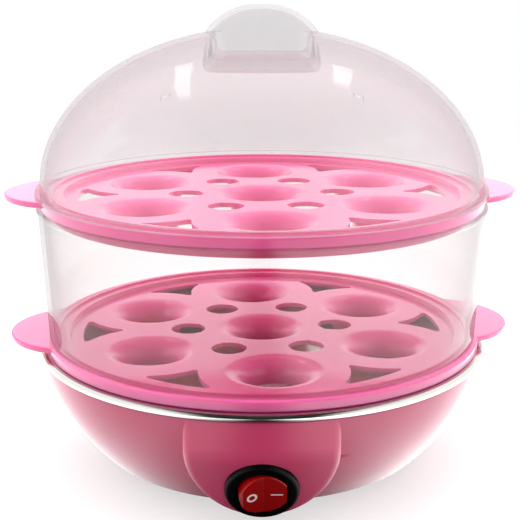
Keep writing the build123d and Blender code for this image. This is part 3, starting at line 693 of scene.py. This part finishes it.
class BuildWall(bpy.types.Operator):
    """Turn the clear wall of the lower tier"""
    bl_idname = "egg_boiler.wall"
    bl_label = "Clear wall"

    def execute(self, context):
        wall = context.scene.egg_boiler_wall
        look = context.scene.egg_boiler_clear
        low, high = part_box("clear_wall")
        top_radius = high.x - wall.bead
        bead_radius = top_radius + wall.bead
        foot_middle = (wall.foot_radius - wall.thickness / 2, low.z)
        corners = [(wall.foot_radius, low.z), (top_radius, high.z - wall.bead_height),
                   (bead_radius, high.z - wall.bead_height / 2), (bead_radius, high.z),
                   (top_radius - wall.thickness, high.z),
                   (wall.foot_radius - wall.thickness, low.z)]
        outline = rounded([foot_middle, *corners, foot_middle], [wall.edge_bend] * len(corners))
        clear = clear_plastic("wall_clear", look, look.wall_haze, look.wall_tint, look.wall_milk)
        piece = turned("clear_wall_shell", outline[:-1], wall.segments, clear)
        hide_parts("clear_wall")
        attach(piece, "wall")
        return {"FINISHED"}


class DressLid(bpy.types.Operator):
    """Finish the domed lid"""
    bl_idname = "egg_boiler.lid"
    bl_label = "Domed lid"

    def execute(self, context):
        look = context.scene.egg_boiler_clear
        milky = clear_plastic("lid_milky", look, look.lid_haze, look.lid_tint, look.lid_milk)
        paint("dome_lid", milky)
        return {"FINISHED"}


def ring_mesh(name, radius, stroke, height):
    """Flat ring, the off mark."""
    angles = [2 * pi * i / OFF_STEPS for i in range(OFF_STEPS)]
    mark = bmesh.new()
    inner_low, outer_low, inner_high, outer_high = [
        [mark.verts.new((r * cos(angle), r * sin(angle), z)) for angle in angles]
        for z in (0, height) for r in (radius - stroke / 2, radius + stroke / 2)
    ]
    for first, second in ((outer_low, inner_low), (inner_low, inner_high),
                          (inner_high, outer_high), (outer_high, outer_low)):
        for i in range(OFF_STEPS):
            j = (i + 1) % OFF_STEPS
            mark.faces.new((first[i], first[j], second[j], second[i]))
    return closed(mark, bpy.data.meshes.new(name))


def bar_mesh(name, bar_length, stroke, height):
    """Flat bar with round ends, the on mark."""
    radius = stroke / 2
    outline = []
    for side, start in ((1, -pi / 2), (-1, pi / 2)):
        for i in range(ON_STEPS + 1):
            angle = start + pi * i / ON_STEPS
            outline.append((side * (bar_length / 2 - radius) + radius * cos(angle),
                            radius * sin(angle)))
    mark = bmesh.new()
    low = [mark.verts.new((x, y, 0)) for x, y in outline]
    high = [mark.verts.new((x, y, height)) for x, y in outline]
    mark.faces.new(low[::-1])
    mark.faces.new(high)
    for i in range(len(outline)):
        j = (i + 1) % len(outline)
        mark.faces.new((low[i], low[j], high[j], high[i]))
    return closed(mark, bpy.data.meshes.new(name))


class DressSwitch(bpy.types.Operator):
    """Finish the round switch and print its off and on marks"""
    bl_idname = "egg_boiler.switch"
    bl_label = "Round switch"

    def execute(self, context):
        marks = context.scene.egg_boiler_marks
        for node, finish in SWITCH_FINISHES.items():
            paint(node, plain_finish(finish))
        white = plain_finish("mark_print")
        hinge = next(j for j in frame["joints"] if j["child"] == "rocker")
        up = -Vector(hinge["axis"])
        across = Vector((1, 0, 0))
        out = across.cross(up)
        half_swing = radians(hinge["range_deg"][1]) / 2
        rest = Matrix.Rotation(half_swing, 4, up)
        pivot = Vector(hinge["pos_m"])
        lift = marks.crown + marks.spread * tan(marks.tilt) - marks.print_sink
        for name, side, mesh in (
            ("off_mark", -1,
             ring_mesh("off_mark", marks.off_radius, marks.off_stroke, marks.print_height)),
            ("on_mark", 1,
             bar_mesh("on_mark", marks.on_length, marks.on_stroke, marks.print_height)),
        ):
            lean = Matrix.Rotation(-side * marks.tilt, 4, up)
            basis = Matrix((lean @ across, up, lean @ out)).transposed().to_4x4()
            centre = across * side * marks.spread + out * lift
            mesh.transform(Matrix.Translation(pivot) @ rest @ Matrix.Translation(centre) @ basis)
            mesh.materials.append(white)
            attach(piece_from(name, mesh), "rocker")
        return {"FINISHED"}


class DressInside(bpy.types.Operator):
    """Finish the heater, the thermostat, the fuse, the terminal block and the cord's entry"""
    bl_idname = "egg_boiler.inside"
    bl_label = "Heater and wiring"

    def execute(self, context):
        for finish, nodes in INSIDE_FINISHES.items():
            material = plain_finish(finish)
            for node in nodes:
                paint(node, material)
        return {"FINISHED"}


# ---------------------------------------------------------------- stage
SENSOR_WIDTH = 36  # millimetres
LENS_SHIFT = -0.0037  # in widths of the picture
NEAREST_SEEN = 0.01  # metres
FLOOR_ROUGHNESS = 0.7
FLOOR_MIRRORED = (0.01, 0.01, 0.01)  # colour of the floor in glossy faces

# Between these limits of a direction's own X, Y or Z a part of the room lights up.
LIT_FRONT = (-0.95, -0.1)  # Y, for matt faces
LIT_TOP = (0.2, 0.9)  # Z, for matt faces
MIRRORED_SIDE = (0.35, 0.75)  # X to either side, in glossy faces
MIRRORED_BACK = (0.0, 0.5)  # Y, in glossy faces
MIRRORED_FRONT_SHARE = 0.02  # what is left of the mirrored room's light at the front

STRIP_DISTANCE = 1.0  # metres from the place where the strip light mirrors in the lid
STRIP_LIGHTS = (
    # name, place on the lid, direction to the light, direction of its height, width, height
    ("left_strip", (-0.025, -0.046, 0.138), (-0.333, 0.493, 0.803), (-0.116, -0.412, 0.209),
     0.075, 0.48),
    ("right_strip", (0.025, -0.046, 0.138), (0.319, 0.560, 0.765), (0.067, -0.223, 0.137),
     0.088, 0.27),
)


def softbox(name, target, way, along, width, height, radiance):
    """Rectangular soft light that faces a point, with its height along a given direction."""
    light = bpy.data.lights.new(name, "AREA")
    light.shape = "RECTANGLE"
    light.size = width
    light.size_y = height
    light.energy = radiance * pi * width * height  # an area light's power for that radiance
    holder = bpy.data.objects.new(name, light)
    back = Vector(way).normalized()
    across = Vector(along).cross(back).normalized()
    turn = Matrix((across, back.cross(across), back)).transposed().to_4x4()
    holder.matrix_world = Matrix.Translation(Vector(target) + back * STRIP_DISTANCE) @ turn
    holder.visible_camera = False
    bpy.context.scene.collection.objects.link(holder)


def floor_finish(studio):
    """White floor that fades into the room with distance.

    To the camera it glows evenly. In glossy faces it is dark below the object and bright to the
    left and right.
    """
    material, tree, output = new_material("floor_white")
    matt = principled(tree, Roughness=FLOOR_ROUGHNESS)
    clear = tree.nodes.new("ShaderNodeBsdfTransparent")
    glow = tree.nodes.new("ShaderNodeEmission")
    lit = tree.nodes.new("ShaderNodeAddShader")
    rays = tree.nodes.new("ShaderNodeLightPath")
    place = tree.nodes.new("ShaderNodeTexCoord")
    split = tree.nodes.new("ShaderNodeSeparateXYZ")
    away = tree.nodes.new("ShaderNodeVectorMath")
    away.operation = "LENGTH"
    tree.links.new(place.outputs["Object"], split.inputs[0])
    tree.links.new(place.outputs["Object"], away.inputs[0])
    base = blended(tree, rays.outputs["Is Glossy Ray"], studio.floor_colour, FLOOR_MIRRORED)
    tree.links.new(base, matt.inputs["Base Color"])
    aside = fade(tree, calculate(tree, "ABSOLUTE", split.outputs["X"]),
                 (studio.glow_start, studio.glow_full), 0, studio.side_glow)
    lean = fade(tree, split.outputs["X"], (-studio.glow_start, studio.glow_start),
                1, studio.right_gain)
    mirrored = calculate(tree, "MULTIPLY", rays.outputs["Is Glossy Ray"],
                         calculate(tree, "MULTIPLY", aside, lean))
    seen = calculate(tree, "MULTIPLY", rays.outputs["Is Camera Ray"], studio.floor_glow)
    tree.links.new(calculate(tree, "ADD", seen, mirrored), glow.inputs["Strength"])
    tree.links.new(matt.outputs[0], lit.inputs[0])
    tree.links.new(glow.outputs[0], lit.inputs[1])
    faded = fade(tree, away.outputs["Value"], (studio.floor_hold, studio.floor_reach), 0, 1)
    whole = mixed(tree, faded, lit.outputs[0], clear.outputs[0])
    tree.links.new(whole, output.inputs["Surface"])
    return material


def lay_floor(studio):
    """The floor, just below the feet."""
    half = studio.floor_reach
    mesh = bpy.data.meshes.new("studio_floor")
    mesh.from_pydata([(x * half, y * half, -studio.floor_drop)
                      for x, y in ((-1, -1), (1, -1), (1, 1), (-1, 1))],
                     [], [(0, 1, 2, 3)])
    mesh.materials.append(floor_finish(studio))
    piece_from("studio_floor", mesh)


def room(studio):
    """White room.

    Its light on matt faces is weak from the front and stronger from overhead. Glossy faces mirror
    its sides and its back. To the camera it is plain white.
    """
    world = bpy.data.worlds.new("studio_room")
    bpy.context.scene.world = world
    world.use_nodes = True
    tree = world.node_tree
    tree.nodes.clear()
    output = tree.nodes.new("ShaderNodeOutputWorld")
    light = tree.nodes.new("ShaderNodeBackground")
    light.inputs["Color"].default_value = (1, 1, 1, 1)
    rays = tree.nodes.new("ShaderNodeLightPath")
    way = tree.nodes.new("ShaderNodeTexCoord")
    split = tree.nodes.new("ShaderNodeSeparateXYZ")
    tree.links.new(way.outputs["Generated"], split.inputs[0])
    front = fade(tree, split.outputs["Y"], LIT_FRONT, studio.front_light, 1)
    top = fade(tree, split.outputs["Z"], LIT_TOP, 1, studio.top_light)
    lit = calculate(tree, "MULTIPLY", calculate(tree, "MULTIPLY", front, top), studio.room_light)
    aside = fade(tree, calculate(tree, "ABSOLUTE", split.outputs["X"]), MIRRORED_SIDE, 0, 1)
    behind = fade(tree, split.outputs["Y"], MIRRORED_BACK, MIRRORED_FRONT_SHARE, 1)
    mirrored = calculate(tree, "MULTIPLY", calculate(tree, "MAXIMUM", aside, behind),
                         studio.mirror_light)
    shown = chosen(tree, rays.outputs["Is Glossy Ray"], lit, mirrored)
    tree.links.new(chosen(tree, rays.outputs["Is Camera Ray"], shown, 1),
                   light.inputs["Strength"])
    tree.links.new(light.outputs[0], output.inputs["Surface"])


def place_camera(studio):
    """The camera, in front of the object and looking down at it."""
    camera = bpy.data.cameras.new("camera")
    camera.sensor_width = SENSOR_WIDTH
    camera.lens = camera.sensor_width * studio.focal / PICTURE_WIDTH
    camera.shift_x = LENS_SHIFT
    camera.clip_start = NEAREST_SEEN
    holder = bpy.data.objects.new("camera", camera)
    holder.location = (0, -studio.distance, studio.height)
    holder.rotation_euler = (pi / 2 - studio.pitch, 0, 0)
    bpy.context.scene.collection.objects.link(holder)
    bpy.context.scene.camera = holder


class BuildStage(bpy.types.Operator):
    """Set up the floor, the camera, the lights and the room"""
    bl_idname = "egg_boiler.stage"
    bl_label = "Studio"

    def execute(self, context):
        studio = context.scene.egg_boiler_studio
        context.scene.view_settings.view_transform = "Standard"
        lay_floor(studio)
        place_camera(studio)
        for strip in STRIP_LIGHTS:
            softbox(*strip, studio.strip_glare)
        room(studio)
        return {"FINISHED"}


# ---------------------------------------------------------------- add-on
SETTINGS = (
    ("egg_boiler_plastic", PlasticLook),
    ("egg_boiler_clear", ClearLook),
    ("egg_boiler_wall", WallSizes),
    ("egg_boiler_dish", DishSizes),
    ("egg_boiler_marks", SwitchMarks),
    ("egg_boiler_studio", StudioSetup),
)
OPERATORS = (
    BuildStage, DressHousing, DressTrays, BuildDish, BuildWall, DressLid, DressSwitch, DressInside,
)


class EggBoilerPanel(bpy.types.Panel):
    """Sizes, colours and steps of the egg boiler"""
    bl_idname = "VIEW3D_PT_egg_boiler"
    bl_label = "Egg boiler"
    bl_space_type = "VIEW_3D"
    bl_region_type = "UI"
    bl_category = "Egg boiler"

    def draw(self, context):
        for group, kind in SETTINGS:
            box = self.layout.box()
            for label in kind.__annotations__:
                box.prop(getattr(context.scene, group), label)
        for operator in OPERATORS:
            self.layout.operator(operator.bl_idname)


def register():
    for group, kind in SETTINGS:
        bpy.utils.register_class(kind)
        setattr(bpy.types.Scene, group, PointerProperty(type=kind))
    for kind in (*OPERATORS, EggBoilerPanel):
        bpy.utils.register_class(kind)


def unregister():
    for kind in (EggBoilerPanel, *reversed(OPERATORS)):
        bpy.utils.unregister_class(kind)
    for group, kind in reversed(SETTINGS):
        delattr(bpy.types.Scene, group)
        bpy.utils.unregister_class(kind)


def main():
    register()
    for operator in OPERATORS:
        area, action = operator.bl_idname.split(".")
        getattr(getattr(bpy.ops, area), action)()


if __name__ == "__main__":
    main()
